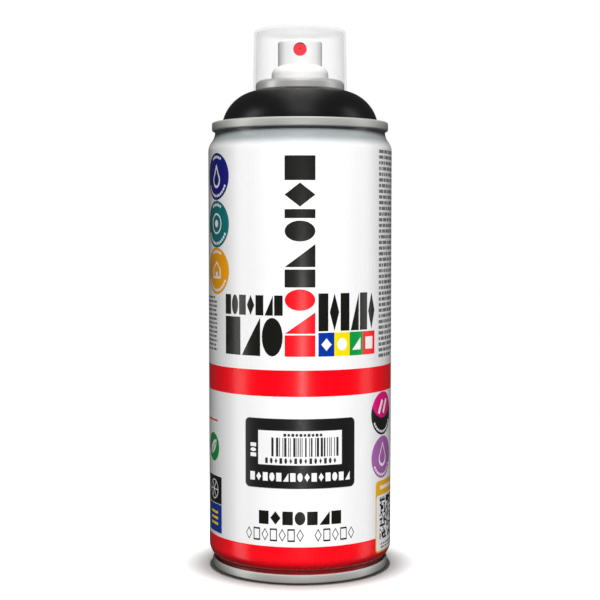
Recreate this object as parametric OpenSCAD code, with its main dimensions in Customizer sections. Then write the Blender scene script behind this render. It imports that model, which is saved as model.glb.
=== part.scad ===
// Aerosol spray can, 400 ml size, with a one-inch valve, a push button, a colour ring and a clear overcap.
// Millimetres, +Z up. The origin is the centre of the plane the can stands on, and the nozzle faces -Y.

/* [Can] */
// Diameter of the printed body
can_d = 65; // [62:0.5:70]
// Height from the standing plane to the crest of the top seam
can_h = 157.5; // [120:0.5:220]
// Thickness of the body sheet
wall = 0.2; // [0.16:0.02:0.24]
// Thickness of the sheet of the dome and the base
end_wall = 0.33; // [0.28:0.01:0.36]
// How far the seams are set in from the body, on the radius
neck_in = 1.3; // [1:0.1:1.6]
// Height of the neck below the top seam
top_neck_h = 6.8; // [6:0.2:8]
// Height of the neck above the bottom seam
base_neck_h = 5; // [4.6:0.2:6]

/* [Top] */
// Height of the clear overcap
overcap_h = 23.4; // [22.8:0.1:26]
// Wall thickness of the overcap
overcap_wall = 0.8; // [0.6:0.05:0.8]
// Thickness of the colour ring
ring_wall = 1.2; // [1:0.05:1.3]

/* [Spray head] */
// Diameter of the part of the button that a finger pushes
button_d = 15.6; // [15:0.1:17]
// Diameter of the button's skirt
skirt_d = 20.1; // [19.5:0.1:21]
// Diameter of the nozzle insert
insert_d = 4.7; // [4.2:0.1:5]
// How far the button and the stem travel when pushed
stroke = 1.3; // [1:0.1:1.4]

/* [Inside] */
// Diameter of a mixing ball
ball_d = 7; // [5:0.5:7]
// Angle that the dip tube bends through towards the front
tube_bend = 28.5; // [10:0.5:28.5]

/* [Colour label] */
// Width of the label, measured straight across the front
label_w = 37; // [25:0.5:42]
// Height of the label
label_h = 23.5; // [15:0.5:26]
// Height of the label's centre above the standing plane
label_z = 44.7; // [40:0.1:50]

/* [Hidden] */
$fn = 96;

chord_error = 0.01;     // distance from the middle of a chord to its arc, in every outline
fit_gap = 0.05;         // gap between parts that touch without moving
slide_gap = 0.04;       // gap on the radius between parts that slide or turn

// Double seam. r_ names are centre lines of the sheets, from the outside in; s is the distance from the crest.
seam_gap = 0.07;
seam_h = 3.1;
seam_crown = 0.5;
seam_r = can_d / 2 - neck_in;
r_outer = seam_r - end_wall / 2;
r_body_hook = r_outer - end_wall / 2 - seam_gap - wall / 2;
r_cover_hook = r_body_hook - wall / 2 - seam_gap - end_wall / 2;
r_neck = r_cover_hook - end_wall / 2 - seam_gap - wall / 2;
r_chuck = r_neck - wall / 2 - seam_gap - end_wall / 2;
fold_r = (r_body_hook - r_neck) / 2;
fold_s = end_wall + 0.15 + wall / 2 + fold_r;
hook_s = seam_h - end_wall - 0.39;
cover_turn_r = (r_outer - r_cover_hook) / 2;
cover_turn_s = seam_h - end_wall / 2 - cover_turn_r;
cover_tip_s = fold_s - fold_r + wall / 2 + 0.17;
body_mid_r = can_d / 2 - wall / 2;
neck_start_s = 3.4;

// Dome: a groove inside the seam, a round shoulder, and a rolled bead around the one-inch opening.
groove_s = 4.6;
groove_fillet = 0.9;
groove_out_r = r_chuck - 0.195;
groove_in_r = groove_out_r - 3.8;
shoulder_c = [13.7, can_h - 2.8];
shoulder_r = groove_in_r - shoulder_c[0];
shoulder_top = shoulder_c[1] + shoulder_r;
bead_r = 1.035;
bead_c = [13.9, shoulder_top + 3.5];
opening_r = bead_c[0] - bead_r;
bead_fillet = 0.7;

// Mounting cup, as heights above the centre of its channel.
cup_wall = 0.28;
channel_c = [14.03, bead_c[1] + 0.33];
channel_r = 1.53;
channel_z = channel_c[1];
cup_r = channel_c[0] + channel_r + cup_wall / 2;
cup_floor_z = channel_z - 7.43;
pedestal_r = 5.3;
pedestal_top = channel_z - 0.73;
cup_hole_r = 2.5;

// Valve, hung from the underside of the pedestal.
stem_r = 2;
stem_bore_r = 1;
stem_top = channel_z + 7.37;
gasket_top = pedestal_top - cup_wall / 2 - 0.06;
gasket_t = 1;
housing_top = gasket_top - gasket_t - fit_gap;
housing_head_r = 5.08;
housing_head_h = 2.25;
housing_r = 4.3;
housing_bottom = housing_top - 10.15;
chamber_r = 3.6;
chamber_floor = housing_bottom + 1;
shoulder_disc_r = 3.3;
shoulder_disc_h = 3.15;
tail_r = 1.95;
tail_h = 8.5;
spring_wire_r = 0.3;
spring_r = 2.5;
spring_turns = 5;
spring_low = chamber_floor + fit_gap;
spring_high = housing_top - shoulder_disc_h - fit_gap;

// Dip tube.
tube_r = 2.55;
tube_bore_r = tail_r + 0.03;
tube_arc_r = 170;
tube_straight_end = can_h * 0.585;

// Base: the panel is a sphere that meets the wall of the recess at panel_angle.
recess_s = 3.4;
panel_angle = 27.8;
panel_edge = [
    groove_out_r - groove_fillet + groove_fillet * sin(panel_angle),
    recess_s + groove_fillet * cos(panel_angle)
];
panel_r = panel_edge[0] / sin(panel_angle);
panel_c = panel_edge[1] - panel_r * cos(panel_angle);

// Mixing balls, resting on the base panel near the wall.
ball_r = ball_d / 2;
ball_path_r = can_d / 2 - wall - ball_r - 0.4;
ball_z = panel_c + sqrt(pow(panel_r + end_wall / 2 + ball_r + fit_gap, 2) - pow(ball_path_r, 2));
ball_angles = [80, 100];

// Colour ring, around the shoulder of the dome.
ring_r = shoulder_r + 2.1;
ring_in_r = ring_r - ring_wall;
ring_lip_r = 17;
ring_lip_round = 0.4;
ring_foot_z = can_h - 4;
ring_ribs = 8;

// Overcap, standing on the shoulder of the dome around the mounting cup.
cap_in_r = cup_r + 0.2;
cap_out_r = cap_in_r + overcap_wall;
cap_draft = 0.5;
cap_foot = shoulder_top;
cap_top = cap_foot + overcap_h;
cap_round = 1.4;
cap_bead = 0.15;

// Button.
head_z = channel_z + 15.67;
button_r = button_d / 2;
skirt_r = skirt_d / 2;
button_wall = 1.1;
button_step_z = head_z - 8.9;
skirt_shoulder_r = 3;
skirt_shoulder_z = button_step_z - skirt_shoulder_r;
skirt_foot_z = head_z - 17.2;
core_foot_z = pedestal_top + cup_wall / 2 + stroke + 0.2;
core_r = 3.3;
nozzle_z = head_z - 3.6;
dish_edge_r = 6.2;
dish_r = 25;
insert_r = insert_d / 2;
insert_front = button_r - 0.3;
insert_length = 3.6;
post_r = 1;

// Points of an arc, in the plane of radius and height.
function arc_steps(r, angle) = max(2, ceil(abs(angle) / (2 * acos(1 - chord_error / r))));
function arc(c, r, a0, a1) =
    let (n = arc_steps(r, a1 - a0))
    [for (i = [0 : n]) let (a = a0 + (a1 - a0) * i / n) [c[0] + r * cos(a), c[1] + r * sin(a)]];

// A bend from one vertical line to another, as two arcs. share is the first arc's part of the whole.
function s_bend(p, q, share = 0.5) =
    let (
        shift = q[0] - p[0],
        rise = q[1] - p[1],
        angle = 2 * atan(abs(shift / rise)),
        r = abs(rise) / sin(angle),
        n = arc_steps(r * max(share, 1 - share), angle),
        side = sign(shift),
        way = sign(rise),
        turn = [for (i = [0 : n]) let (a = angle * i / n) [side * r * (1 - cos(a)), way * r * sin(a)]]
    )
    concat([for (h = turn) p + h * share], [for (i = [n : -1 : 0]) q - turn[i] * (1 - share)]);

function reverse(p) = [for (i = [len(p) - 1 : -1 : 0]) p[i]];
function apart(p) = [for (i = [0 : len(p) - 1]) if (i == 0 || norm(p[i] - p[i - 1]) > 1e-3) p[i]];
function unit(v) = v / norm(v);
function left(v) = [-v[1], v[0]];

// The line that runs d to the left of a path, never past the axis.
function beside(p, d) = [
    for (i = [0 : len(p) - 1])
        let (
            a = unit(i > 0 ? p[i] - p[i - 1] : p[1] - p[0]),
            b = unit(i < len(p) - 1 ? p[i + 1] - p[i] : p[i] - p[i - 1]),
            m = left(a) + left(b),
            q = p[i] + m * 2 * d / (m * m)
        )
        [max(0, q[0]), q[1]]
];

// The outline of a sheet of thickness t along a centre line.
function sheet(p, t) = let (c = apart(p)) concat(beside(c, t / 2), reverse(beside(c, -t / 2)));

// Puts a seam's points, given as radius and distance from the crest, at the top or the bottom of the can.
function at_top(p) = [for (q = p) [q[0], can_h - q[1]]];

// The hooked edge of an end, from the tip of its cover hook to the top of its chuck wall.
function end_hook() = concat(
    [[r_cover_hook, cover_tip_s]],
    arc([r_cover_hook + cover_turn_r, cover_turn_s], cover_turn_r, 180, 0),
    arc([r_outer - seam_crown, end_wall / 2 + seam_crown], seam_crown, 0, -90),
    arc([r_chuck + seam_crown, end_wall / 2 + seam_crown], seam_crown, -90, -180)
);

// The flanged edge of the body, from the tip of its hook to the start of the neck.
function body_hook() = concat(
    [[r_body_hook, hook_s]],
    arc([r_neck + fold_r, fold_s], fold_r, 0, -180),
    [[r_neck, neck_start_s]]
);

module lathe(points) {
    rotate_extrude() polygon(points);
}

// Welded body: a cylinder necked in and flanged at both ends, with the raised weld along the back.
module can_body() {
    weld_w = 1.4;
    weld_h = 0.05;
    low = base_neck_h + neck_start_s;
    high = can_h - top_neck_h - neck_start_s;
    base_hollow = 0.2;  // share of the base neck that is hollow; the rest is round
    path = concat(
        body_hook(),
        s_bend([r_neck, neck_start_s], [body_mid_r, low], base_hollow),
        s_bend([body_mid_r, high], [r_neck, can_h - neck_start_s]),
        reverse(at_top(body_hook()))
    );
    weld_angle = weld_w / (can_d / 2) * 180 / PI;
    color("white") union() {
        lathe(sheet(path, wall));
        rotate([0, 0, 90 - weld_angle / 2])
            rotate_extrude(angle = weld_angle)
                translate([body_mid_r, low + 1]) square([wall / 2 + weld_h, high - low - 2]);
    }
}

// Dome, seamed to the top of the body.
module dome() {
    path = concat(
        at_top(end_hook()),
        at_top(arc([groove_out_r - groove_fillet, groove_s - groove_fillet], groove_fillet, 0, 90)),
        at_top(arc([groove_in_r + groove_fillet, groove_s - groove_fillet], groove_fillet, 90, 180)),
        arc(shoulder_c, shoulder_r, 0, 90),
        arc([opening_r + bead_fillet, shoulder_top + bead_fillet], bead_fillet, 270, 180),
        arc(bead_c, bead_r, 180, -100)
    );
    color("silver") lathe(sheet(path, end_wall));
}

// Base, seamed to the bottom of the body, with its panel pressed into the can against the pressure.
module bottom_end() {
    path = concat(
        end_hook(),
        arc([groove_out_r - groove_fillet, recess_s], groove_fillet, 0, 90 - panel_angle),
        arc([0, panel_c], panel_r, 90 - panel_angle, 90)
    );
    color("silver") lathe(sheet(path, end_wall));
}

// Sealing compound, squeezed between the crest of a seam and the fold of the body.
module seam_compound(crest, way) {
    thick = 0.115;
    half_w = fold_r * 0.73;
    mid = r_neck + fold_r;
    s = end_wall + 0.02;
    color("dimgray") lathe([
        for (c = [[-1, 0], [1, 0], [1, 1], [-1, 1]]) [mid + c[0] * half_w, crest + way * (s + c[1] * thick)]
    ]);
}

// One-inch mounting cup: a channel over the bead, a clinched wall, a floor and the pedestal that grips the valve.
module mounting_cup() {
    wall_r = channel_c[0] - channel_r;
    clinch_r = wall_r + 0.55;
    clinch_z = shoulder_top - 0.97;
    floor_fillet = 0.8;
    crimp_r = pedestal_r - 0.45;
    crimp_z = housing_top - housing_head_h - 0.85;
    top_fillet = 0.7;
    path = concat(
        [[channel_c[0] + channel_r, channel_z - channel_r]],
        arc(channel_c, channel_r, 0, 180),
        s_bend([wall_r, clinch_z + 1.3], [clinch_r, clinch_z + 0.1]),
        s_bend([clinch_r, clinch_z - 0.1], [wall_r - 0.3, clinch_z - 1.5]),
        arc([wall_r - 0.3 - floor_fillet, cup_floor_z + floor_fillet], floor_fillet, 0, -90),
        arc([pedestal_r + floor_fillet, cup_floor_z + floor_fillet], floor_fillet, 270, 180),
        s_bend([pedestal_r, crimp_z - 0.75], [crimp_r, crimp_z - 0.05]),
        s_bend([crimp_r, crimp_z + 0.05], [pedestal_r, crimp_z + 0.75]),
        arc([pedestal_r - top_fillet, pedestal_top - top_fillet], top_fillet, 0, 90),
        [[cup_hole_r, pedestal_top]]
    );
    color("silver") lathe(sheet(path, cup_wall));
}

// Gasket squeezed between the bead of the dome and the channel of the mounting cup.
module cup_gasket() {
    clear = 0.03;
    color("gray") rotate_extrude() difference() {
        translate(channel_c) circle(r = channel_r - cup_wall / 2 - clear);
        translate(bead_c) circle(r = bead_r + end_wall / 2 + clear);
        translate([bead_c[0] - 3, bead_c[1] - 3]) square([6, 3.5]);
        translate([bead_c[0] - 3, bead_c[1] - 1]) square([2.4, 4]);
    }
}

// Housing of the valve, gripped by the pedestal, with a barbed tail for the dip tube.
module valve_housing() {
    barbs = 3;
    barb_pitch = 2.2;
    vent_z = chamber_floor + 1.6;
    tail_foot = housing_bottom - tail_h;
    barb = [for (i = [0 : barbs - 1]) let (z = tail_foot + i * barb_pitch)
        each [[tail_r - 0.3, z], [tail_r, z + 0.6 * barb_pitch]]];
    color("ivory") difference() {
        lathe(concat(
            [[0.9, tail_foot]], barb,
            [
                [tail_r, tail_foot + barbs * barb_pitch], [tail_r, housing_bottom],
                [housing_r, housing_bottom], [housing_r, housing_top - housing_head_h],
                [housing_head_r, housing_top - housing_head_h], [housing_head_r, housing_top],
                [chamber_r, housing_top], [chamber_r, chamber_floor], [0.9, chamber_floor]
            ]
        ));
        translate([0, 0, vent_z]) rotate([0, 90, 0]) cylinder(r = 0.25, h = housing_r + 1);
    }
}

// Rubber disc that closes the stem's side hole at rest.
module stem_gasket() {
    color("black") translate([0, 0, gasket_top - gasket_t]) difference() {
        cylinder(r = 4.75, h = gasket_t);
        translate([0, 0, -1]) cylinder(r = stem_r + slide_gap, h = gasket_t + 2);
    }
}

// Stem: a tube with two side holes at the gasket, a disc that stops it, and a boss that centres the spring.
module valve_stem() {
    disc_top = housing_top;
    hole_z = gasket_top - gasket_t / 2;
    bore_floor = gasket_top - 0.8;
    color("white") difference() {
        lathe([
            [0, disc_top - shoulder_disc_h - 1.5], [1.4, disc_top - shoulder_disc_h - 1.5],
            [1.7, disc_top - shoulder_disc_h - 1.2], [1.7, disc_top - shoulder_disc_h],
            [shoulder_disc_r, disc_top - shoulder_disc_h], [shoulder_disc_r, disc_top],
            [stem_r, disc_top], [stem_r, stem_top - 0.4], [stem_r - 0.4, stem_top], [0, stem_top]
        ]);
        translate([0, 0, bore_floor]) cylinder(r = stem_bore_r, h = stem_top);
        translate([-5, 0, hole_z]) rotate([0, 90, 0]) cylinder(r = 0.3, h = 10);
    }
}

// Compression spring, swept as rings of points along a coil whose ends are closed up.
module valve_spring() {
    ring_n = 8;
    turn_n = 20;
    steps = spring_turns * turn_n;
    closed = 0.75;                   // turns at each end that lie almost flat
    low = spring_low + spring_wire_r;
    high = spring_high - spring_wire_r;
    end_rise = 2.1 * spring_wire_r;  // rise of a closed turn
    free = spring_turns - 2 * closed;
    rise = (high - low) - 2 * closed * end_rise;
    function height(t) =
        low + end_rise * min(t, closed) + rise * min(max((t - closed) / free, 0), 1)
        + end_rise * max(t - closed - free, 0);
    points = [
        for (i = [0 : steps], j = [0 : ring_n - 1])
            let (a = 360 * i / turn_n, b = 360 * j / ring_n, r = spring_r + spring_wire_r * cos(b))
            [r * cos(a), r * sin(a), height(i / turn_n) + spring_wire_r * sin(b)]
    ];
    side = [
        for (i = [0 : steps - 1], j = [0 : ring_n - 1])
            let (k = (j + 1) % ring_n, p = i * ring_n, q = p + ring_n)
            each [[p + j, q + k, q + j], [p + j, p + k, q + k]]
    ];
    start = [for (j = [ring_n - 1 : -1 : 0]) j];
    end = [for (j = [0 : ring_n - 1]) steps * ring_n + j];
    color("gainsboro") polyhedron(points, concat(side, [start], [end]));
}

// Dip tube: straight below the valve, then bent towards the front to reach the lowest corner.
module dip_tube() {
    top = housing_bottom - 0.4;
    color([0.93, 0.93, 0.9, 0.6]) union() {
        translate([0, 0, tube_straight_end]) difference() {
            cylinder(r = tube_r, h = top - tube_straight_end);
            translate([0, 0, -1]) cylinder(r = tube_bore_r, h = top - tube_straight_end + 2);
        }
        translate([0, -tube_arc_r, tube_straight_end]) rotate([-90, 0, 90])
            rotate_extrude(angle = tube_bend) translate([tube_arc_r, 0]) difference() {
                circle(r = tube_r);
                circle(r = tube_bore_r);
            }
    }
}

module mixing_ball(angle) {
    color("lightgray") rotate([0, 0, angle]) translate([ball_path_r, 0, ball_z]) sphere(r = ball_r);
}

// Push button: a stepped hollow cap with a dished top, a core that takes the stem, and a socket for the insert.
module actuator_button() {
    roof = 2.6;
    edge_r = 0.9;
    step = 0.3;
    dish_c = [0, head_z - 0.8 + dish_r];
    shoulder = [skirt_r - skirt_shoulder_r, skirt_shoulder_z];
    meets_step = acos((button_r + step - shoulder[0]) / skirt_shoulder_r);
    meets_wall = acos((button_r - button_wall - shoulder[0]) / (skirt_shoulder_r - button_wall));
    outside = concat(
        [[skirt_r - 0.3, skirt_foot_z], [skirt_r, skirt_foot_z + 0.3]],
        arc(shoulder, skirt_shoulder_r, 0, meets_step),
        [[button_r, button_step_z]],
        arc([button_r - edge_r, head_z - edge_r], edge_r, 0, 90),
        arc(dish_c, dish_r, 270 + asin(dish_edge_r / dish_r), 270)
    );
    inside = concat(
        [
            [0, head_z - roof], [button_r - button_wall - 0.6, head_z - roof],
            [button_r - button_wall, head_z - roof - 0.6]
        ],
        arc(shoulder, skirt_shoulder_r - button_wall, meets_wall, 0),
        [[skirt_r - button_wall, skirt_foot_z]]
    );
    seat = insert_front - insert_length - 0.5;
    passage_z = nozzle_z + 1.3;
    color("white") difference() {
        union() {
            lathe(concat(outside, inside));
            translate([0, 0, core_foot_z]) cylinder(r = core_r, h = head_z - roof + 0.5 - core_foot_z);
            intersection() {
                translate([0, 0, nozzle_z]) rotate([90, 0, 0]) cylinder(r = insert_r + 1, h = button_r);
                cylinder(r = button_r - 0.5, h = head_z - roof + 0.5);
            }
        }
        translate([0, 0, core_foot_z - 1]) cylinder(r = stem_r + slide_gap, h = stem_top + 0.1 - core_foot_z + 1);
        translate([0, 0, stem_top - 1]) cylinder(r = 0.9, h = passage_z + 0.5 - stem_top + 1);
        translate([0, 0, passage_z]) rotate([90, 0, 0]) cylinder(r = 0.5, h = seat + 0.3);
        difference() {
            translate([0, -seat, nozzle_z]) rotate([90, 0, 0]) cylinder(r = insert_r, h = button_r);
            translate([0, -seat + 1, nozzle_z]) rotate([90, 0, 0]) cylinder(r = post_r, h = insert_length + 0.6);
        }
    }
}

// Nozzle insert: a cup pushed over the button's post, with the spray hole in its face.
module nozzle_insert() {
    face = 0.6;
    r = insert_r - fit_gap / 2;
    color("red") translate([0, -insert_front, nozzle_z]) rotate([-90, 0, 0]) rotate_extrude() polygon([
        [0.2, 0.3], [0.6, 0], [r - 0.3, 0], [r, 0.3], [r, insert_length],
        [post_r + 0.25, insert_length], [post_r + 0.25, face], [0.2, face]
    ]);
}

// Colour ring: a round shell over the shoulder of the dome, standing in its groove on ribs.
module colour_ring() {
    c = shoulder_c;
    lip_r = ring_lip_r + ring_lip_round;
    lip_w = 0.9;
    lip_h = 1;
    lip_z = c[1] + sqrt(pow(ring_r - ring_lip_round, 2) - pow(lip_r - c[0], 2));
    lip_angle = atan2(lip_z - c[1], lip_r - c[0]);
    lip_inside = acos((ring_lip_r + lip_w - c[0]) / ring_in_r);
    rib_r = shoulder_r + end_wall / 2 + fit_gap;
    rib_low = 20;
    rib_high = 62;
    color("#17171a") union() {
        lathe(concat(
            [[c[0] + ring_r - 0.3, ring_foot_z], [c[0] + ring_r, ring_foot_z + 0.3]],
            arc(c, ring_r, 0, lip_angle),
            arc([lip_r, lip_z], ring_lip_round, lip_angle, 180),
            [[ring_lip_r, lip_z - lip_h], [ring_lip_r + lip_w, lip_z - lip_h]],
            arc(c, ring_in_r, lip_inside, 0),
            [[c[0] + ring_in_r, ring_foot_z]]
        ));
        for (i = [0 : ring_ribs - 1])
            rotate([0, 0, (i + 0.5) * 360 / ring_ribs])
                rotate_extrude(angle = 2.4)
                    polygon(concat(arc(c, rib_r, rib_low, rib_high), arc(c, ring_in_r + 0.3, rib_high, rib_low)));
    }
}

// Overcap: a drafted cup with a bead inside its rim, lifted straight off.
module overcap() {
    top_r = cap_out_r - cap_draft;
    in_top_r = cap_in_r - cap_draft;
    inner_round = 0.7;
    bead_z = cap_foot + 0.75;
    color([0.93, 0.94, 0.95, 0.4]) lathe(concat(
        [[cap_out_r - 0.2, cap_foot], [cap_out_r, cap_foot + 0.2]],
        arc([top_r - cap_round, cap_top - cap_round], cap_round, 0, 90),
        [[0, cap_top], [0, cap_top - 0.9]],
        arc([in_top_r - inner_round, cap_top - 0.9 - inner_round], inner_round, 90, 0),
        [
            [cap_in_r, bead_z + 0.45], [cap_in_r - cap_bead, bead_z + 0.15],
            [cap_in_r - cap_bead, bead_z - 0.15], [cap_in_r, bead_z - 0.45], [cap_in_r, cap_foot]
        ]
    ));
}

// Adhesive label wrapped on the front of the body.
module colour_label() {
    film = 0.11;
    corner = 1.7;
    r = can_d / 2 + 0.01;
    color("#1b1b1d") intersection() {
        translate([0, 0, label_z - label_h]) difference() {
            cylinder(r = r + film, h = 2 * label_h);
            translate([0, 0, -1]) cylinder(r = r, h = 2 * label_h + 2);
        }
        translate([0, 0, label_z]) rotate([90, 0, 0]) linear_extrude(can_d) union() {
            square([label_w - 2 * corner, label_h], center = true);
            square([label_w, label_h - 2 * corner], center = true);
            for (x = [-1, 1], y = [-1, 1])
                translate([x * (label_w / 2 - corner), y * (label_h / 2 - corner)]) circle(r = corner);
        }
    }
}

can_body();
dome();
bottom_end();
seam_compound(can_h, -1);  // top_seam_compound
seam_compound(0, 1);  // bottom_seam_compound
mounting_cup();
cup_gasket();
valve_housing();
stem_gasket();
valve_stem();
valve_spring();
dip_tube();
mixing_ball(ball_angles[0]);  // mixing_ball_1
mixing_ball(ball_angles[1]);  // mixing_ball_2
actuator_button();
nozzle_insert();
colour_ring();
overcap();
colour_label();
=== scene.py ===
"""The looks of an aerosol spray can.

Lengths are in millimetres until a mesh is made, which turns them into metres."""

import math
import random

import bmesh
import bpy
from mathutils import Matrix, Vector
from mathutils.geometry import delaunay_2d_cdt


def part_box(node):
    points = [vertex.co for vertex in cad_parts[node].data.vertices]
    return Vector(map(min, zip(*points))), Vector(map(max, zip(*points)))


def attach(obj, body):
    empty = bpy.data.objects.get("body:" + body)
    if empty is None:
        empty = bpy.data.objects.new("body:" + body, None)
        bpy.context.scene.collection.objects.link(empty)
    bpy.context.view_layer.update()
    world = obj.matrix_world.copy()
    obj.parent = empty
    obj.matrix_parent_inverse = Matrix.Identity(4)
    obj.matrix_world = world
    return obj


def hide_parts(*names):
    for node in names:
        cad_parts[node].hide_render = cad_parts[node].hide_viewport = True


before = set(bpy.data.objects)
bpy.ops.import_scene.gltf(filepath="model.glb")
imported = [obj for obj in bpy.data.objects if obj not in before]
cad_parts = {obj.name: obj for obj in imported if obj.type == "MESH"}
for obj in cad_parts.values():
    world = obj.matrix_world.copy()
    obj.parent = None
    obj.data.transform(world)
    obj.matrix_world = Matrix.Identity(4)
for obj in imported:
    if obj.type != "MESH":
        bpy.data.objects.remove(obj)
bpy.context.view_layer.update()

MM = 0.001
TURN_STEPS = 192      # faces round a turned piece
CHORD_ERROR = 0.004   # distance from the middle of a chord to its arc, in every outline
SHARP_TURNED = 35     # edges of more degrees than this stay sharp
SHARP_REFINED = 30


def low(node):
    return [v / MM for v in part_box(node)[0]]


def high(node):
    return [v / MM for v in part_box(node)[1]]


# Sizes of the CAD model that the drawn outlines need.
BODY_R = high("can_body")[0]
HALF_TURN = math.pi * BODY_R
CAN_H = 157.5          # between the crests of the two seams
NECK_R = 30.13
NECK_START = 3.4       # the straight part of each neck, measured from a seam's crest
BASE_NECK_TOP = 8.4
BASE_HOLLOW = 0.2      # share of the base neck that is hollow; the rest is round
TOP_NECK_FOOT = 147.3
PRINT_LOW = 2.7        # the seams hide the coat below and above these heights
PRINT_HIGH = 154.8

# Heights between which painted shade darkens a coat.
PAINTED_NECK_SHADE = (146.9, 151.2)   # painted shade: the coat greys towards the top seam
PAINTED_SEAM_SHADE = (3.7, 5.6)       # painted shade darkens it in the corner above the lower seam


# ---------------------------------------------------------------- outlines

def arc(centre, r, a0, a1):
    """Points of an arc, in the plane of radius and height, with angles in degrees."""
    step = 2 * math.degrees(math.acos(1 - CHORD_ERROR / r))
    n = max(4, math.ceil(abs(a1 - a0) / step))
    angles = [math.radians(a0 + (a1 - a0) * i / n) for i in range(n + 1)]
    return [(centre[0] + r * math.cos(a), centre[1] + r * math.sin(a)) for a in angles]


def s_bend(p, q, share=0.5, n=14):
    """A bend from one vertical line to another, as two arcs. share is the first arc's part of the whole."""
    shift, rise = q[0] - p[0], q[1] - p[1]
    angle = 2 * math.atan(abs(shift / rise))
    r = abs(rise) / math.sin(angle)
    side, way = math.copysign(1, shift), math.copysign(1, rise)
    steps = [angle * i / n for i in range(n + 1)]
    turn = [(side * r * (1 - math.cos(a)), way * r * math.sin(a)) for a in steps]
    first = [(p[0] + share * x, p[1] + share * z) for x, z in turn]
    second = [(q[0] - (1 - share) * x, q[1] - (1 - share) * z) for x, z in reversed(turn)]
    return first + second[1:]


# ---------------------------------------------------------------- meshes

def make_object(name, verts, faces, body, material, sharp=None):
    """A new piece from points in millimetres, smooth except at edges of more than sharp degrees."""
    mesh = bpy.data.meshes.new(name)
    mesh.from_pydata([tuple(c * MM for c in v) for v in verts], [], faces)
    mesh.validate()
    for polygon in mesh.polygons:
        polygon.use_smooth = True
    if sharp is not None:
        mesh.set_sharp_from_angle(angle=math.radians(sharp))
    mesh.materials.append(material)
    piece = bpy.data.objects.new(name, mesh)
    bpy.context.scene.collection.objects.link(piece)
    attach(piece, body)
    return piece


def turned(name, outline, body, material):
    """A closed outline of (radius, height) turned round the can's axis."""
    verts, rings = [], []
    for r, z in outline:
        if r < 1e-6:
            rings.append([len(verts)] * TURN_STEPS)
            verts.append((0, 0, z))
        else:
            rings.append(list(range(len(verts), len(verts) + TURN_STEPS)))
            for i in range(TURN_STEPS):
                a = 2 * math.pi * i / TURN_STEPS
                verts.append((r * math.cos(a), r * math.sin(a), z))
    faces = []
    for a, b in zip(rings, rings[1:] + rings[:1]):
        for i in range(TURN_STEPS):
            n = (i + 1) % TURN_STEPS
            corners = [a[i], a[n], b[n], b[i]]
            unique = [c for m, c in enumerate(corners) if c not in corners[:m]]
            if len(unique) > 2:
                faces.append(unique)
    return make_object(name, verts, faces, body, material, SHARP_TURNED)


def refined(node, body, material):
    """A copy of a CAD node with its points joined, so that it shades smoothly. It stands for the node."""
    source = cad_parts[node]
    verts = [tuple(c / MM for c in source.matrix_world @ v.co) for v in source.data.vertices]
    faces = [list(p.vertices) for p in source.data.polygons]
    piece = make_object(node + "_smooth", verts, faces, body, material)
    work = bmesh.new()
    work.from_mesh(piece.data)
    bmesh.ops.remove_doubles(work, verts=work.verts, dist=1e-6)
    work.to_mesh(piece.data)
    work.free()
    piece.data.set_sharp_from_angle(angle=math.radians(SHARP_REFINED))
    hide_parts(node)


# ---------------------------------------------------------------- materials

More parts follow.
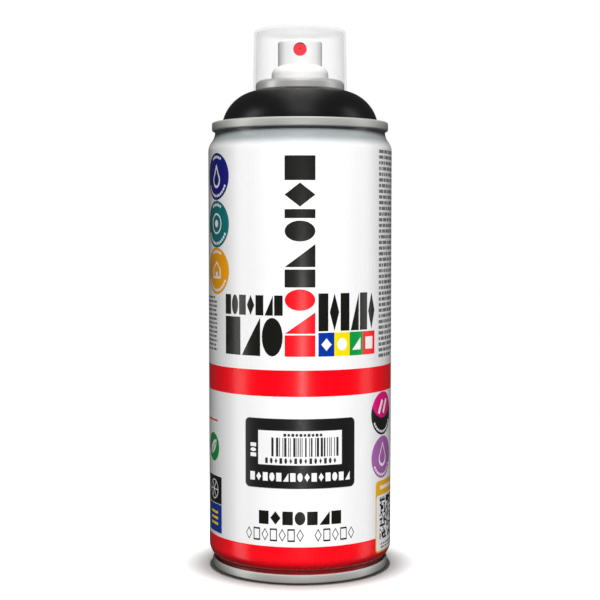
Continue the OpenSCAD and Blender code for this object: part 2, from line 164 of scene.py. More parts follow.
class Shader:
    """A node material with one Principled shader, and short ways to add nodes to it."""

    def __init__(self, name):
        self.material = bpy.data.materials.new(name)
        self.material.use_nodes = True
        self.tree = self.material.node_tree
        self.main = self.tree.nodes["Principled BSDF"]

    def node(self, kind, **inputs):
        node = self.tree.nodes.new(kind)
        for key, value in inputs.items():
            self.feed(node, key, value)
        return node

    def feed(self, node, key, value):
        name = key.replace("_", " ")
        socket = node.inputs[int(key[1:])] if key[0] == "i" and key[1:].isdigit() else node.inputs[name]
        if isinstance(value, bpy.types.NodeSocket):
            self.tree.links.new(value, socket)
        else:
            socket.default_value = value

    def set(self, **inputs):
        for key, value in inputs.items():
            self.feed(self.main, key, value)

    def place(self):
        return self.node("ShaderNodeTexCoord").outputs["Object"]

    def noise(self, scale, detail=2.0, vector=None):
        """Noise from 0 to 1. scale is in features per metre."""
        node = self.node("ShaderNodeTexNoise", Vector=vector or self.place(), Scale=scale, Detail=detail)
        return node.outputs["Fac"]

    def maths(self, operation, a, b=0.0, c=0.0):
        node = self.node("ShaderNodeMath", i0=a, i1=b, i2=c)
        node.operation = operation
        return node.outputs[0]

    def ranged(self, value, lo, hi):
        """A value from 0 to 1, spread from lo to hi."""
        return self.node("ShaderNodeMapRange", Value=value, To_Min=lo, To_Max=hi).outputs[0]

    def blend(self, factor, a, b):
        node = self.node("ShaderNodeMix")
        node.data_type = "RGBA"
        self.tree.links.new(factor, node.inputs["Factor"])
        for socket, value in zip([s for s in node.inputs if s.type == "RGBA"], (a, b)):
            if isinstance(value, bpy.types.NodeSocket):
                self.tree.links.new(value, socket)
            else:
                socket.default_value = (*value, 1)
        return next(s for s in node.outputs if s.type == "RGBA")

    def bump(self, height, depth):
        """A bump whose relief is depth millimetres."""
        node = self.node("ShaderNodeBump", Height=height, Distance=depth * MM, Strength=1.0)
        self.set(Normal=node.outputs[0])

    def rings(self, scale):
        """Fine lines round the can's axis, as a spinning tool leaves them."""
        x, y, z = self.node("ShaderNodeSeparateXYZ", Vector=self.place()).outputs
        r = self.maths("SQRT", self.maths("ADD", self.maths("MULTIPLY", x, x), self.maths("MULTIPLY", y, y)))
        angle = self.maths("ARCTAN2", y, x)
        place = self.node("ShaderNodeCombineXYZ", X=self.maths("MULTIPLY", r, scale),
                          Y=self.maths("MULTIPLY", z, scale), Z=self.maths("MULTIPLY", angle, 6.0))
        return self.noise(scale=1.0, detail=3.0, vector=place.outputs[0])

    def scuffs(self):
        """Handling marks, from 0 to 1: short faint streaks in a few patches."""
        streaks = self.node("ShaderNodeMapping", Vector=self.place(), Scale=(900, 900, 130),
                            Rotation=(0.5, 0.35, 0))
        marks = self.noise(scale=1.0, vector=streaks.outputs[0])
        patches = self.noise(scale=26)
        sharp = self.node("ShaderNodeMapRange", Value=marks, From_Min=0.56, From_Max=0.68)
        where = self.node("ShaderNodeMapRange", Value=patches, From_Min=0.48, From_Max=0.68)
        return self.maths("MULTIPLY", sharp.outputs[0], where.outputs[0])


def shade(rgb, by):
    return tuple(min(1, c * by) for c in rgb)


def srgb(r, g, b):
    """A linear colour from display values of 0 to 255."""
    shares = (r / 255, g / 255, b / 255)
    return tuple(((c + 0.055) / 1.055) ** 2.4 if c > 10 / 255 else c / 12.92 for c in shares)


def lacquer(name, rgb, roughness=0.26, neck_shade_rgb=None):
    """Baked lacquer or printing ink on tinplate: glossy, with a trace of orange peel and a few scuffs.

    The neck colour, if given, is the grey of a painted shade on the top neck, under the top seam."""
    s = Shader(name)
    mottle = s.noise(scale=190, detail=3.0)
    colour = s.blend(mottle, shade(rgb, 0.975), shade(rgb, 1.015))
    height = s.node("ShaderNodeSeparateXYZ", Vector=s.place()).outputs["Z"]
    # Painted shade: the top neck greys towards the top seam.
    if neck_shade_rgb is not None:
        neck_shade_mask = s.node("ShaderNodeMapRange", Value=height, From_Min=PAINTED_NECK_SHADE[0] * MM,
                      From_Max=PAINTED_NECK_SHADE[1] * MM)
        neck_shade_mask.interpolation_type = "SMOOTHSTEP"
        drawn = s.blend(mottle, shade(neck_shade_rgb, 0.95), shade(neck_shade_rgb, 1.05))
        colour = s.blend(neck_shade_mask.outputs[0], colour, drawn)
    # Painted shade: every coat darkens in the corner above the lower seam.
    corner = s.node("ShaderNodeMapRange", Value=height, From_Min=PAINTED_SEAM_SHADE[0] * MM,
                    From_Max=PAINTED_SEAM_SHADE[1] * MM)
    colour = s.blend(corner.outputs[0], shade(rgb, 0.34), colour)
    gloss = s.ranged(s.noise(scale=1500, detail=3.0), roughness - 0.035, roughness + 0.035)
    s.set(Base_Color=colour, Roughness=s.maths("MULTIPLY_ADD", s.scuffs(), 0.16, gloss))
    orange_peel = s.noise(scale=620, detail=1.5)
    s.bump(orange_peel, depth=0.003)
    return s.material


def tin(name, rgb, roughness, metallic=0.75, marks=1.0):
    """Tinplate marked by the tools that spun it: fine lines round the axis and dull patches."""
    s = Shader(name)
    lines = s.rings(5200)
    patches = s.noise(scale=160, detail=4.0)
    mixed = s.maths("MULTIPLY_ADD", lines, 0.6, s.maths("MULTIPLY", patches, 0.4))
    s.set(Base_Color=s.blend(mixed, shade(rgb, 1 - 0.1 * marks), shade(rgb, 1 + 0.08 * marks)),
          Metallic=metallic,
          Roughness=s.ranged(mixed, roughness - 0.06 * marks, roughness + 0.06 * marks))
    s.bump(lines, depth=0.003 * marks)
    return s.material


def plastic(name, rgb, roughness, grain=2600, depth=0.006):
    """Moulded plastic: a fine spark-eroded grain, uneven gloss and a few handling marks."""
    s = Shader(name)
    cloud = s.noise(scale=140, detail=3.0)
    gloss = s.ranged(s.noise(scale=grain * 0.4), roughness - 0.05, roughness + 0.05)
    s.set(Base_Color=s.blend(cloud, shade(rgb, 0.95), shade(rgb, 1.04)),
          Roughness=s.maths("MULTIPLY_ADD", s.scuffs(), 0.12, gloss))
    s.bump(s.noise(scale=grain), depth)
    return s.material


def clear_plastic(name):
    """Natural polypropylene: nearly clear face on, milkier where the wall is seen edge on."""
    s = Shader(name)
    facing = s.node("ShaderNodeLayerWeight", Blend=0.5).outputs["Facing"]
    cloud = s.ranged(s.noise(scale=90, detail=3.0), 0.85, 1.15)
    milk = s.maths("MULTIPLY_ADD", s.maths("MINIMUM", facing, 0.6), 0.22, 0.015)
    s.set(Base_Color=s.blend(s.noise(scale=60), (0.78, 0.79, 0.8), (0.86, 0.87, 0.88)),
          Roughness=s.ranged(s.noise(scale=1200), 0.16, 0.26),
          Alpha=s.maths("MULTIPLY", milk, cloud))
    s.bump(s.noise(scale=500, detail=1.0), depth=0.004)
    return s.material


# ---------------------------------------------------------------- printing

def rect(u0, z0, u1, z1):
    return [(u0, z0), (u1, z0), (u1, z1), (u0, z1)]


def rounded(u0, z0, u1, z1, r, n=6):
    corners = ((u1 - r, z0 + r, -90), (u1 - r, z1 - r, 0), (u0 + r, z1 - r, 90), (u0 + r, z0 + r, 180))
    turns = [(cu, cz, math.radians(a + 90 * i / n)) for cu, cz, a in corners for i in range(n + 1)]
    return [(cu + r * math.cos(t), cz + r * math.sin(t)) for cu, cz, t in turns]


def disc(u, z, r, n=48):
    return [(u + r * math.cos(2 * math.pi * i / n), z + r * math.sin(2 * math.pi * i / n)) for i in range(n)]


def sector(u, z, r0, r1, a0, a1):
    """Part of a ring between two radii and two angles, in degrees."""
    n = max(2, round((a1 - a0) / 12))
    turns = [math.radians(a0 + (a1 - a0) * i / n) for i in range(n + 1)]
    outer = [(u + r1 * math.cos(t), z + r1 * math.sin(t)) for t in turns]
    return outer + [(u + r0 * math.cos(t), z + r0 * math.sin(t)) for t in reversed(turns)]


def drop(u, z, r, n=20):
    """A drop of paint with its point up."""
    turns = [math.radians(-220 + 260 * i / n) for i in range(n + 1)]
    return [(u + r * math.cos(t), z + r * math.sin(t)) for t in turns] + [(u, z + 2.1 * r)]


def circle_part(cx, cy, r, a0, a1, n=12):
    turns = [math.radians(a0 + (a1 - a0) * i / n) for i in range(n + 1)]
    return [(cx + r * math.cos(t), cy + r * math.sin(t)) for t in turns]


# Plain geometric figures in a unit square, which stand where a real can has lettering.
FIGURES = {
    "block": [rect(0, 0, 1, 1)],
    "disc": [circle_part(0.5, 0.5, 0.5, 0, 345, 23)],
    "diamond": [[(0.5, 0), (1, 0.5), (0.5, 1), (0, 0.5)]],
    "ramp": [[(0, 0), (1, 0), (1, 1)]],
}
MIXED = ["block", "diamond", "block", "disc", "block", "ramp", "block", "disc", "diamond"]


def figure(name, u0, z0, u1, z1):
    return [[(u0 + (u1 - u0) * x, z0 + (z1 - z0) * y) for x, y in shape] for shape in FIGURES[name]]


def row(u0, z0, u1, z1, names, gap):
    """Figures side by side."""
    width = (u1 - u0 - gap * (len(names) - 1)) / len(names)
    shapes = []
    for i, name in enumerate(names):
        left = u0 + i * (width + gap)
        shapes += figure(name, left, z0, left + width, z1)
    return shapes


def column(u0, u1, top, sizes, names, gap):
    """Figures one under the other, with their own heights."""
    shapes = []
    for size, name in zip(sizes, names):
        shapes += figure(name, u0, top - size, u1, top)
        top -= size + gap
    return shapes


DASH_SIZES = (0.8, 3.6)
DASH_LEAST = 0.4
DASH_GAP = 0.45


def fine_print(rng, u0, z0, u1, z1, pitch, share=0.5):
    """Lines of short dashes, as a block of small print looks. share is the inked part of the pitch."""
    shapes = []
    z = z1 - pitch
    while z > z0:
        u = u0
        end = u1 - rng.choice((0, 0, 0, 0.25, 0.6)) * (u1 - u0) * rng.random()
        while u < end - DASH_LEAST:
            size = min(rng.uniform(*DASH_SIZES), end - u)
            shapes.append(rect(u, z, u + size, z + pitch * share))
            u += size + DASH_GAP
        z -= pitch
    return shapes


def bar(u, z, half_length, half_width, turn):
    """A bar about a point, turned by an angle in degrees."""
    c, t = math.cos(math.radians(turn)), math.sin(math.radians(turn))
    corners = ((-1, -1), (1, -1), (1, 1), (-1, 1))
    return [(u + a * half_length * c - b * half_width * t, z + a * half_length * t + b * half_width * c)
            for a, b in corners]


def leaf(u, z, r):
    """A leaf that points up and to the right."""
    shape = circle_part(0, 0, 1, 0, 90) + circle_part(1, 1, 1, 180, 270)
    return [(u + (1 - 2 * x) * r * 0.75, z + (2 * y - 1) * r * 0.75) for x, y in shape]


def lens(u, z, r, lift):
    """What a disc has in common with the same disc lifted."""
    half = math.degrees(math.asin(lift / 2 / r))
    upper = circle_part(u, z, r, half, 180 - half, 24)
    lower = circle_part(u, z + lift, r, 180 + half, 360 - half, 24)
    return upper + lower


def speckle(rng, u0, z0, side, cells):
    """A square of random small blocks."""
    cell = side / cells
    shapes = []
    for j in range(cells):
        start = None
        for i in range(cells + 1):
            filled = i < cells and rng.random() < 0.5
            if filled and start is None:
                start = i
            if not filled and start is not None:
                foot = z0 + j * cell
                shapes.append(rect(u0 + start * cell, foot, u0 + i * cell, foot + 0.999 * cell))
                start = None
    return shapes


def around(u, z, r, size, a0, a1, count):
    """Dashes along a circle, as lettering round a badge looks."""
    step = (a1 - a0) / count
    starts = [a0 + step * (i + 0.12) for i in range(count)]
    return [sector(u, z, r - size / 2, r + size / 2, start, start + step * 0.72) for start in starts]


def print_mesh(prefix, art, domain, u_lines, z_lines, wrap, inks, ground, body):
    """Cuts the flat artwork into one mesh per ink, without overlaps, and wraps it on a surface."""
    points, edges, faces, face_inks = [], [], [], []
    u_min, u_max = min(p[0] for p in domain), max(p[0] for p in domain)
    z_min, z_max = min(p[1] for p in domain), max(p[1] for p in domain)

    def add_loop(outline):
        start = len(points)
        area = sum(a[0] * b[1] - b[0] * a[1] for a, b in zip(outline, outline[1:] + outline[:1]))
        ordered = outline if area > 0 else outline[::-1]
        points.extend(Vector(p) for p in ordered)
        faces.append(list(range(start, start + len(ordered))))

    def add_line(p, q):
        points.extend((Vector(p), Vector(q)))
        edges.append((len(points) - 2, len(points) - 1))

    add_loop(domain)
    face_inks.append(ground)
    for ink, outline in art:
        add_loop(outline)
        face_inks.append(ink)
    for u in u_lines:
        add_line((u, z_min), (u, z_max))
    for z in z_lines:
        add_line((u_min, z), (u_max, z))
    flat, _, parts, _, _, owners = delaunay_2d_cdt(points, edges, faces, 0, 1e-5)
    by_ink = {}
    for part, owner in zip(parts, owners):
        if 0 in owner:
            by_ink.setdefault(face_inks[max(owner)], []).append(part)
    pieces = {}
    for ink, triangles in by_ink.items():
        used = sorted({v for t in triangles for v in t})
        index = {v: i for i, v in enumerate(used)}
        places = [wrap(*flat[v]) for v in used]
        piece = make_object(f"{prefix}_{ink}", [p for p, _ in places],
                            [[index[v] for v in t] for t in triangles], body, inks[ink])
        piece.data.normals_split_custom_set_from_vertices([n for _, n in places])
        pieces[ink] = piece
    return pieces


# ---------------------------------------------------------------- body and its printing

body_outline = (
    [(NECK_R, PRINT_LOW)]
    + s_bend((NECK_R, NECK_START), (BODY_R, BASE_NECK_TOP), BASE_HOLLOW)
    + s_bend((BODY_R, TOP_NECK_FOOT), (NECK_R, CAN_H - NECK_START))
    + [(NECK_R, PRINT_HIGH)]
)


def body_radius(z):
    for (r0, z0), (r1, z1) in zip(body_outline, body_outline[1:]):
        if z <= z1:
            return r0 + (r1 - r0) * (z - z0) / (z1 - z0)
    return body_outline[-1][0]


WELD_HALF = 0.7
WELD_SIDE = 0.15      # width of its sloping sides
WELD_H = 0.049
WELD_LOW = BASE_NECK_TOP + 1
WELD_HIGH = TOP_NECK_FOOT - 1
WELD_STEP = 0.01      # each end of it drops within this height


def weld_height(u, z):
    """The weld stands out along the back of the straight body."""
    if not WELD_LOW < z < WELD_HIGH:
        return 0.0
    past = (WELD_HALF + WELD_SIDE - (HALF_TURN - abs(u))) / WELD_SIDE
    return WELD_H * min(max(past, 0.0), 1.0)


def wrap_body(u, z):
    a = u / BODY_R
    r = body_radius(z) + weld_height(u, z)
    slope = (body_radius(z + 0.05) - body_radius(z - 0.05)) / 0.1
    normal = Vector((math.sin(a), -math.cos(a), -slope)).normalized()
    return (r * math.sin(a), -r * math.cos(a), z), normal


INKS = {
    # The grey on the white coat's top neck is painted shade.
    "white": lacquer("lacquer_white", (0.9, 0.9, 0.9), neck_shade_rgb=(0.25, 0.268, 0.273)),
    "red": lacquer("ink_red", srgb(250, 0, 22)),
    "black": lacquer("ink_black", srgb(22, 22, 18), 0.24),
    "grey": lacquer("ink_grey", srgb(120, 120, 120)),
    "blue": lacquer("ink_blue", srgb(0, 51, 153)),
    "yellow": lacquer("ink_yellow", srgb(255, 221, 0)),
    "green": lacquer("ink_green", srgb(0, 150, 64)),
    "navy": lacquer("ink_navy", srgb(14, 20, 120)),
    "teal": lacquer("ink_teal", srgb(0, 110, 115)),
    "orange": lacquer("ink_orange", srgb(238, 160, 0)),
    "magenta": lacquer("ink_magenta", srgb(230, 0, 126)),
    "purple": lacquer("ink_purple", srgb(170, 98, 170)),
    "amber": lacquer("ink_amber", srgb(240, 180, 20)),
    "steel": tin("unprinted_steel", (0.55, 0.55, 0.53), 0.32),
}


# Places of the artwork: u is the distance round the body from the middle of the front, z the height.
BANDS = ((63.9, 72.8), (PRINT_LOW, 13))
COLUMN_HALF = 5.16                        # half of the width of the tall column
COLUMN_BLACK = (144.5, (8.2, 8.0, 3.0, 7.0, 7.7, 6.0))   # its top, and the heights of its tiles
COLUMN_RED = (100, (7.2, 7.2, 7.2))
BLOCKS_FOOT = 77.4
LEFT_BLOCKS = (-29.2, -5.8)
RIGHT_BLOCKS = (6.2, 29.3)
SQUARES = (("blue", "diamond", 6.2, 11.8), ("yellow", "disc", 11.8, 17.6), ("green", "ramp", 17.6, 23.3),
           ("red", "block", 23.3, 29.4))
LOW_ROW = (-19.5, 3.05, 2.5)              # start, step and width of the outlined tiles
LOW_ROW_GAP = 7                           # the tile that is left out
BADGE_U = -35.4
BADGE_R = 8.1
BADGE_HEIGHTS = (("navy", 138.1), ("teal", 121.7), ("orange", 105.6))
RINGS_Z = 121.9
HOUSE_Z = 103
LEAF_BADGE = (-38.9, 44)
MARK_RIGHT = -32.2
MARK_SIDE = 12
WHEEL_Z = 29.2
BARS_Z = 19.2
RIGHT_BADGE_U = 35.2
LENS_BADGE = (56.2, 7.55)                 # height and radius
DROP_BADGE = (40.9, 7.35)
PANEL = (30.4, 7.4, 53, 32.7)
SMALL_PRINT = ((64, 95, 74.5, 138), (58, 95, 17, 60), (-95, -62, 74.5, 118), (-95, -62, 40, 60))
SHADES = ("red", "orange", "yellow", "green", "teal", "blue", "navy", "purple", "magenta", "black", "grey",
          "amber")
SHADE_ROW = 6
SHADE_PITCH = (6.4, 7.4)
STRIPE_HALF = 2


def shrunk(shape, by):
    """A shape scaled about the middle of its box."""
    us, zs = [p[0] for p in shape], [p[1] for p in shape]
    mid_u, mid_z = (min(us) + max(us)) / 2, (min(zs) + max(zs)) / 2
    return [(mid_u + (u - mid_u) * by, mid_z + (z - mid_z) * by) for u, z in shape]


def house(u, foot, half, wall, ridge):
    """A gable end. wall and ridge are heights above the foot."""
    left, right = u - half, u + half
    return [(left, foot), (right, foot), (right, foot + wall), (u, foot + ridge), (left, foot + wall)]


def body_art():
    """The printing on the body, as pairs of an ink and an outline. Later outlines cover earlier ones."""
    rng = random.Random(5)
    art = []

    def put(ink, *groups):
        for shapes in groups:
            art.extend((ink, shape) for shape in shapes)

    def outlined(ink, shapes, by, inside="white"):
        put(ink, shapes)
        put(inside, [shrunk(shape, by) for shape in shapes])

    # Bands all round.
    put("red", [rect(-HALF_TURN, foot, HALF_TURN, top) for foot, top in BANDS])

    # The tall column and the blocks beside it.
    top, sizes = COLUMN_BLACK
    put("black", column(-COLUMN_HALF, COLUMN_HALF, top, sizes,
                        ["block", "diamond", "block", "disc", "ramp", "block"], 0.8))
    top, sizes = COLUMN_RED
    put("red", column(-COLUMN_HALF, COLUMN_HALF, top, sizes, ["disc", "ramp", "block"], 0.5))
    left, right = LEFT_BLOCKS
    put("black", row(left, 91.1, right, 97.9,
                     ["block", "disc", "block", "diamond", "block", "ramp", "block"], 0.45))
    put("black", row(left, BLOCKS_FOOT, right, 90.4, ["block", "ramp", "disc"], 0.6))
    left, right = RIGHT_BLOCKS
    put("black", row(left, 85.9, right, 98.6, ["block", "diamond", "block", "ramp", "block", "diamond"], 0.5))

    # Colour squares, each with a plain figure.
    for ink, name, left, right in SQUARES:
        mid = (left + right) / 2
        put(ink, [rect(left, BLOCKS_FOOT, right, 85.4)])
        put("white", figure(name, mid - 1.8, 79.3, mid + 1.8, 83.5))

    # Rows under the label: a heavy one and a light one.
    put("black", row(-14.4, 20.5, 14.4, 25.1, MIXED[:7], 0.6))
    start, step, width = LOW_ROW
    for i in range(13):
        left = start + step * i
        if i != LOW_ROW_GAP:
            outlined("black", figure(("diamond", "block")[i % 2], left, 14.8, left + width, 19.2), 0.74)

    # Badges on the left, with dashes round the edge and a pictogram.
    for ink, z in BADGE_HEIGHTS:
        put(ink, [disc(BADGE_U, z, BADGE_R)])
        put("white", around(BADGE_U, z, 6.7, 0.9, 205, 335, 12), around(BADGE_U, z, 6.7, 0.9, 60, 120, 6))
    put("white", [drop(BADGE_U, 136.8, 2.7)])
    put("navy", [drop(BADGE_U, 136.9, 1.9)])
    put("white", [disc(BADGE_U, RINGS_Z, 3.6)])
    put("teal", [disc(BADGE_U, RINGS_Z, 3.0)])
    put("white", [disc(BADGE_U, RINGS_Z, 1.3)])
    outlined("white", [house(BADGE_U, HOUSE_Z, 3, 3.4, 6)], 0.76, "orange")
    put("white", [rect(BADGE_U - 0.7, HOUSE_Z, BADGE_U + 0.7, HOUSE_Z + 2.3)])
    put("grey", fine_print(rng, -47.5, 77.5, -35.1, 97.5, 1.5))

    # Marks on the lower left: a line, a leaf, a wheel and three bars.
    put("red", [rect(-56, 53.2, -35, 53.8)])
    u, z = LEAF_BADGE
    put("green", [disc(u, z, 5)])
    put("white", [leaf(u, z, 3.7)])
    put("green", [bar(u, z - 0.4, 3.0, 0.22, 45)])
    left = MARK_RIGHT - MARK_SIDE
    mid = MARK_RIGHT - MARK_SIDE / 2
    put("black", [rect(left, 24.4, MARK_RIGHT, 34)])
    put("white", [disc(mid, WHEEL_Z, 3.5)])
    put("black", [disc(mid, WHEEL_Z, 3.1)])
    put("white", [bar(mid, WHEEL_Z, 3.1, 0.2, turn) for turn in (0, 60, 120)])
    put("blue", [rect(left, 14.2, MARK_RIGHT, 24.2)])
    put("yellow", [bar(mid, BARS_Z + dz, 3.2, 0.45, 0) for dz in (-2, 0, 2)])

    # Badges and panel on the right.
    u = RIGHT_BADGE_U
    z, r = LENS_BADGE
    put("black", [disc(u, z, r)])
    put("magenta", [lens(u, z, r, 6)])
    put("white", [bar(u - 1.6, z + 2.4, 2.6, 0.65, 60), bar(u + 1.7, z + 2.4, 2.6, 0.65, 60)])
    put("white", around(u, z, 6.4, 0.8, 205, 335, 12))
    z, r = DROP_BADGE
    put("purple", [disc(u, z, r)])
    outlined("white", [drop(u, z - 0.5, 2.8)], 0.78, "purple")
    put("white", around(u, z, 6.2, 0.8, 205, 335, 11))
    put("amber", [rounded(*PANEL, 1.8)])
    put("white", [rounded(31.0, 8, 52.4, 27.6, 1.2), rect(33.4, 29.6, 45, 30.8)])
    put("black", speckle(rng, 33.2, 12, 14.8, 20))
    put("grey", fine_print(rng, 34, 8.7, 47, 11.2, 1.2))

    # Small print on the right, the back and the left.
    put("grey", fine_print(rng, 32, 74.5, 60, 148, 1.95, share=0.6))
    for u0, u1, z0, z1 in SMALL_PRINT:
        put("grey", fine_print(rng, u0, z0, u1, z1, 1.25, share=0.56))
    put("black", [rect(64, 141, 84, 144), rect(-95, 120.5, -74, 123.5)])

    # Shade dots on the back.
    across, down = SHADE_PITCH
    for i, ink in enumerate(SHADES):
        for z in (32, 139):
            put(ink, [disc(-91 + (i % SHADE_ROW) * across, z - (i // SHADE_ROW) * down, 2.7)])

    # The stripe along the weld is not printed.
    put("steel", [rect(-HALF_TURN, PRINT_LOW, -HALF_TURN + STRIPE_HALF, PRINT_HIGH),
                  rect(HALF_TURN - STRIPE_HALF, PRINT_LOW, HALF_TURN, PRINT_HIGH)])
    return art


grid = [HALF_TURN * (2 * i / TURN_STEPS - 1) for i in range(1, TURN_STEPS)]
weld_lines = [side * (HALF_TURN - WELD_HALF - d) for side in (-1, 1) for d in (WELD_SIDE, 0.0)]
neck_lines = [z for r, z in body_outline if PRINT_LOW < z < PRINT_HIGH]
weld_ends = [WELD_LOW, WELD_LOW + WELD_STEP, WELD_HIGH - WELD_STEP, WELD_HIGH]
body_pieces = print_mesh("body", body_art(), rect(-HALF_TURN, PRINT_LOW, HALF_TURN, PRINT_HIGH),
                         grid + weld_lines, neck_lines + weld_ends, wrap_body, INKS, "white", "can")
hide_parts("can_body")

# ---------------------------------------------------------------- label

LABEL_R = BODY_R + 0.115
LABEL_CORNER = 1.7
LABEL_LOW = low("colour_label")[2]
LABEL_HIGH = high("colour_label")[2]
LABEL_HALF = math.asin(high("colour_label")[0] / LABEL_R) * LABEL_R
LABEL_STRIPS = 48     # flat strips round its width
LABEL_FIELD = (-14.6, 40.8, 14.6, 52.4)   # the white field: u and z of two corners
BAR_CODE = (-9.8, 13.4)                   # u of the first and the last bar
BAR_FOOT = 43.7
BAR_TOP = 50.1


def wrap_label(u, z):
    a = u / LABEL_R
    normal = Vector((math.sin(a), -math.cos(a), 0))
    return (LABEL_R * math.sin(a), -LABEL_R * math.cos(a), z), normal


LABEL_INKS = {
    "film": plastic("label_film", srgb(24, 24, 24), 0.3, grain=1800, depth=0.003),
    "paper": plastic("label_white", (0.88, 0.88, 0.88), 0.33, grain=1800, depth=0.003),
    "bars": plastic("label_black_ink", srgb(30, 30, 30), 0.4, grain=1800, depth=0.002),
}


def label_art():
    rng = random.Random(11)
    art = [("paper", rect(*LABEL_FIELD))]
    left, end = BAR_CODE
    while left < end - 0.3:
        width = rng.choice((0.28, 0.28, 0.55, 0.8))
        art.append(("bars", rect(left, BAR_FOOT, min(left + width, end), BAR_TOP)))
        left += width + rng.choice((0.3, 0.3, 0.55, 0.85))
    rows = (
        ("bars", row(-12, 41.3, 12.5, 43.2, ["block", "disc", "diamond"] * 5, 0.75)),
        ("bars", row(-5.6, 50.5, 7.6, 51.5, ["block", "disc"] * 5, 0.4)),
        ("paper", row(-17.7, 35.3, 17.7, 38.2, (MIXED + MIXED)[:15], 0.6)),
        ("paper", column(-17.6, -15.4, 48, [1.3, 1.3, 1.3], ["block", "disc", "block"], 0.4)),
    )
    for ink, shapes in rows:
        art += [(ink, shape) for shape in shapes]
    return art


label_domain = rounded(-LABEL_HALF, LABEL_LOW, LABEL_HALF, LABEL_HIGH, LABEL_CORNER, 10)
label_lines = [LABEL_HALF * (2 * i / LABEL_STRIPS - 1) for i in range(1, LABEL_STRIPS)]
label_pieces = print_mesh("label", label_art(), label_domain, label_lines, [], wrap_label, LABEL_INKS,
                          "film", "can")
rim_outer = [wrap_label(u, z)[0] for u, z in label_domain]
rim_inner = [(x * BODY_R / LABEL_R, y * BODY_R / LABEL_R, z) for x, y, z in rim_outer]
count = len(rim_outer)
rim_faces = [[i, (i + 1) % count, count + (i + 1) % count, count + i] for i in range(count)]
make_object("label_edge", rim_outer + rim_inner, rim_faces, "can", LABEL_INKS["film"])
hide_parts("colour_label")

# ---------------------------------------------------------------- metal ends and valve cup

TIN = tin("tinplate", (0.6, 0.6, 0.57), 0.44, 0.5)
CUP_TIN = tin("cup_tinplate", (0.68, 0.68, 0.66), 0.36, 0.6, marks=0.6)
refined("dome", "can", TIN)
refined("bottom_end", "can", TIN)
refined("mounting_cup", "can", CUP_TIN)

# ---------------------------------------------------------------- colour ring

# Half of its section is an arc about RING_C, which goes up from the foot to a small round lip.
RING_C = (13.7, CAN_H - 2.8)
RING_R = high("colour_ring")[0] - RING_C[0]
RING_WALL = 1.2
RING_LIP_R = 17
RING_LIP_ROUND = 0.4
RING_LIP_WALL = 0.9
RING_LIP_DEPTH = 1
RING_FOOT_ROUND = 0.3
RING_FOOT = low("colour_ring")[2]
lip_r = RING_LIP_R + RING_LIP_ROUND
lip_z = RING_C[1] + math.sqrt((RING_R - RING_LIP_ROUND) ** 2 - (lip_r - RING_C[0]) ** 2)
lip_angle = math.degrees(math.atan2(lip_z - RING_C[1], lip_r - RING_C[0]))
inner_end = math.degrees(math.acos((RING_LIP_R + RING_LIP_WALL - RING_C[0]) / (RING_R - RING_WALL)))
ring_side = RING_C[0] + RING_R
BLACK = plastic("ring_black", (0.0035, 0.0035, 0.004), 0.33, grain=1500, depth=0.012)
ring = turned("colour_ring_shell", (
    arc((ring_side - RING_FOOT_ROUND, RING_FOOT + RING_FOOT_ROUND), RING_FOOT_ROUND, -90, 0)
    + arc(RING_C, RING_R, 0, lip_angle)
    + arc((lip_r, lip_z), RING_LIP_ROUND, lip_angle, 180)[1:]
    + [(RING_LIP_R, lip_z - RING_LIP_DEPTH), (RING_LIP_R + RING_LIP_WALL, lip_z - RING_LIP_DEPTH)]
    + arc(RING_C, RING_R - RING_WALL, inner_end, 0)
    + [(ring_side - RING_WALL, RING_FOOT)]
), "can", BLACK)
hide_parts("colour_ring")

# ---------------------------------------------------------------- overcap

CAP_FOOT = low("overcap")[2]
CAP_TOP = high("overcap")[2]
CAP_R = high("overcap")[0]
CAP_WALL = 0.8
CAP_TOP_WALL = 0.9
CAP_DRAFT = 0.5
CAP_ROUND = 1.4
CAP_ROUND_IN = 0.7
CAP_CHAMFER = 0.2
BEAD_DEPTH = 0.15     # the bead inside the foot, which grips the ring
BEAD_FLAT = 0.15      # half heights of its flat and of its foot
BEAD_HALF = 0.45
top_r = CAP_R - CAP_DRAFT
in_top_r = top_r - CAP_WALL
in_r = CAP_R - CAP_WALL
bead_r = in_r - BEAD_DEPTH
bead_z = CAP_FOOT + 0.75
CAP = clear_plastic("overcap_clear")
cap = turned("overcap_shell", (
    [(in_r, CAP_FOOT), (CAP_R - CAP_CHAMFER, CAP_FOOT), (CAP_R, CAP_FOOT + CAP_CHAMFER)]
    + arc((top_r - CAP_ROUND, CAP_TOP - CAP_ROUND), CAP_ROUND, 0, 90)
    + [(0, CAP_TOP), (0, CAP_TOP - CAP_TOP_WALL)]
    + arc((in_top_r - CAP_ROUND_IN, CAP_TOP - CAP_TOP_WALL - CAP_ROUND_IN), CAP_ROUND_IN, 90, 0)
    + [(in_r, bead_z + BEAD_HALF), (bead_r, bead_z + BEAD_FLAT)]
    + [(bead_r, bead_z - BEAD_FLAT), (in_r, bead_z - BEAD_HALF)]
), "cap", CAP)
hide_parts("overcap")

# ---------------------------------------------------------------- button and nozzle insert

WHITE = plastic("button_white", (0.8, 0.8, 0.79), 0.34, grain=2200, depth=0.006)
RED = plastic("insert_red", (0.83, 0.012, 0.028), 0.3, grain=2600, depth=0.004)
refined("actuator_button", "button", WHITE)
refined("nozzle_insert", "button", RED)

# ---------------------------------------------------------------- materials of the pieces inside

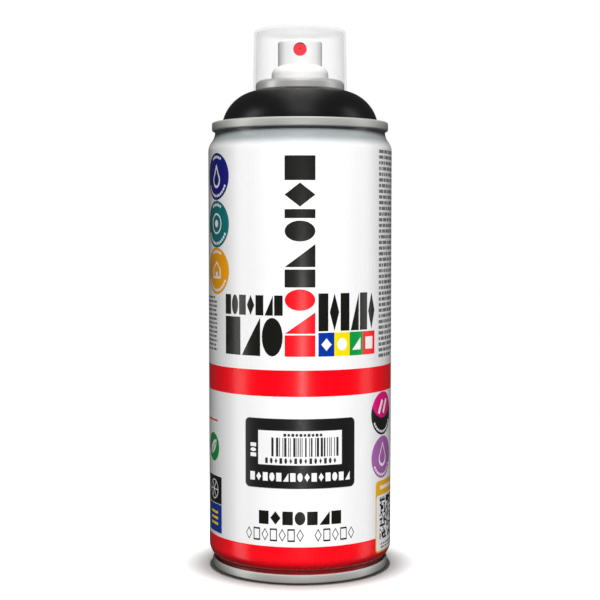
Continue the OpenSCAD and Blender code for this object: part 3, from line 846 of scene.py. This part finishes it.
INSIDE = {
    "top_seam_compound": plastic("compound", (0.3, 0.31, 0.3), 0.7),
    "bottom_seam_compound": plastic("compound_low", (0.3, 0.31, 0.3), 0.7),
    "cup_gasket": plastic("gasket_grey", (0.3, 0.31, 0.3), 0.6),
    "stem_gasket": plastic("gasket_black", (0.03, 0.03, 0.03), 0.6),
    "valve_housing": plastic("housing_natural", (0.84, 0.83, 0.78), 0.42),
    "valve_stem": plastic("stem_white", (0.9, 0.9, 0.88), 0.32),
    "valve_spring": tin("spring_steel", (0.6, 0.6, 0.6), 0.3, 1.0),
    "dip_tube": plastic("tube_natural", (0.85, 0.85, 0.82), 0.35),
    "mixing_ball_1": tin("ball_steel_1", (0.7, 0.7, 0.71), 0.14, 1.0),
    "mixing_ball_2": tin("ball_steel_2", (0.7, 0.7, 0.71), 0.14, 1.0),
}
for node, material in INSIDE.items():
    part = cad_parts[node]
    part.data.materials.clear()
    part.data.materials.append(material)

# ---------------------------------------------------------------- camera, floor and light

scene = bpy.context.scene
scene.view_settings.view_transform = "Standard"
CAMERA_PLACE = (0, -0.483, 0.121)
CAMERA_TILT = 3.12    # degrees below the level
camera = bpy.data.objects.new("camera", bpy.data.cameras.new("camera"))
camera.data.lens = 81.2
camera.data.sensor_width = 36
camera.location = CAMERA_PLACE
camera.rotation_euler = (math.radians(90 - CAMERA_TILT), 0, 0)
camera.data.clip_start = 0.01
scene.collection.objects.link(camera)
scene.camera = camera

FLOOR_HALF = 1.0
FLOOR_FADE = (0.16, 0.34)   # the floor fades into the white background between these distances
floor_mesh = bpy.data.meshes.new("floor")
corners = [(x * FLOOR_HALF, y * FLOOR_HALF, 0) for x, y in ((-1, -1), (1, -1), (1, 1), (-1, 1))]
floor_mesh.from_pydata(corners, [], [[0, 1, 2, 3]])
floor = bpy.data.objects.new("floor", floor_mesh)
floor.location = (0, 0, -0.0001)   # just under the can, so that the two don't flicker
scene.collection.objects.link(floor)
paper = Shader("floor_paper")
seen = paper.node("ShaderNodeLightPath").outputs["Is Camera Ray"]
paper.set(Base_Color=paper.blend(seen, (0.2, 0.2, 0.2), (0.9, 0.9, 0.9)), Roughness=0.9,
          Specular_IOR_Level=0.0)
distance = paper.node("ShaderNodeVectorMath", i0=paper.place())
distance.operation = "LENGTH"
fade = paper.node("ShaderNodeMapRange", Value=distance.outputs["Value"], From_Min=FLOOR_FADE[0],
                  From_Max=FLOOR_FADE[1], To_Min=1.0, To_Max=0.0)
behind = paper.node("ShaderNodeNewGeometry").outputs["Backfacing"]
paper.set(Alpha=paper.maths("MULTIPLY", fade.outputs[0], paper.maths("SUBTRACT", 1.0, behind)))
floor_mesh.materials.append(paper.material)
floor.visible_glossy = False


def light_group(name, state):
    """A collection with which a light includes only the floor, or excludes it."""
    group = bpy.data.collections.new(name)
    group.objects.link(floor)
    group.collection_objects[0].light_linking.link_state = state
    return group


ONLY_FLOOR = light_group("only_floor", "INCLUDE")
NOT_FLOOR = light_group("not_floor", "EXCLUDE")
CAN_CENTRE = Vector((0, 0, 0.09))

light_rig = bpy.data.objects.new("light_rig", None)
scene.collection.objects.link(light_rig)
follow = light_rig.constraints.new("COPY_ROTATION")
follow.target = camera
follow.use_x = False
follow.use_y = False


def softbox(name, azimuth, elevation, distance, width, height, radiance, seen_by="both", lights=NOT_FLOOR):
    """A rectangular light aimed at the can. azimuth is measured from the camera's side, to the right.

    It goes round the can with the camera, so that every side is lit in the same way."""
    a, e = math.radians(azimuth), math.radians(elevation)
    way = Vector((math.sin(a) * math.cos(e), -math.cos(a) * math.cos(e), math.sin(e)))
    data = bpy.data.lights.new(name, "AREA")
    data.shape = "RECTANGLE"
    data.size, data.size_y = width, height
    data.energy = radiance * math.pi * width * height
    light = bpy.data.objects.new(name, data)
    scene.collection.objects.link(light)
    light.parent = light_rig
    light.location = CAN_CENTRE + way * distance
    light.rotation_euler = way.to_track_quat("Z", "Y").to_euler()
    light.visible_diffuse = seen_by != "shine"
    light.visible_glossy = seen_by != "diffuse"
    light.visible_transmission = False
    light.visible_camera = False
    light.light_linking.receiver_collection = lights


softbox("key", 4, 52, 2.2, 0.85, 0.85, 39.5, "diffuse")
softbox("key_shine", 4, 48, 1.3, 0.7, 0.5, 0.8, "shine")
softbox("strip_left", -78, 4, 0.6, 0.2, 1.0, 2.0, "shine")
softbox("strip_right", 88, 4, 0.6, 0.2, 1.0, 1.2, "shine")
softbox("front_shine", 0, 2, 1.4, 1.0, 1.0, 0.2, "shine")
softbox("centre_shine", 3, -7, 0.9, 0.05, 0.13, 24, "shine")
softbox("overhead", 0, 88, 1.1, 0.5, 1.4, 0.9)
softbox("floor_light", 0, 89.6, 0.91, 0.11, 0.11, 400, "diffuse", ONLY_FLOOR)

# A dim white world, which only the camera sees at full brightness.
world = bpy.data.worlds.new("studio")
scene.world = world
world.use_nodes = True
tree = world.node_tree
path = tree.nodes.new("ShaderNodeLightPath")
level = tree.nodes.new("ShaderNodeMapRange")
level.inputs["To Min"].default_value = 0.055
level.inputs["To Max"].default_value = 1.0
tree.links.new(path.outputs["Is Camera Ray"], level.inputs["Value"])
tree.links.new(level.outputs[0], tree.nodes["Background"].inputs["Strength"])
tree.nodes["Background"].inputs["Color"].default_value = (1, 1, 1, 1)
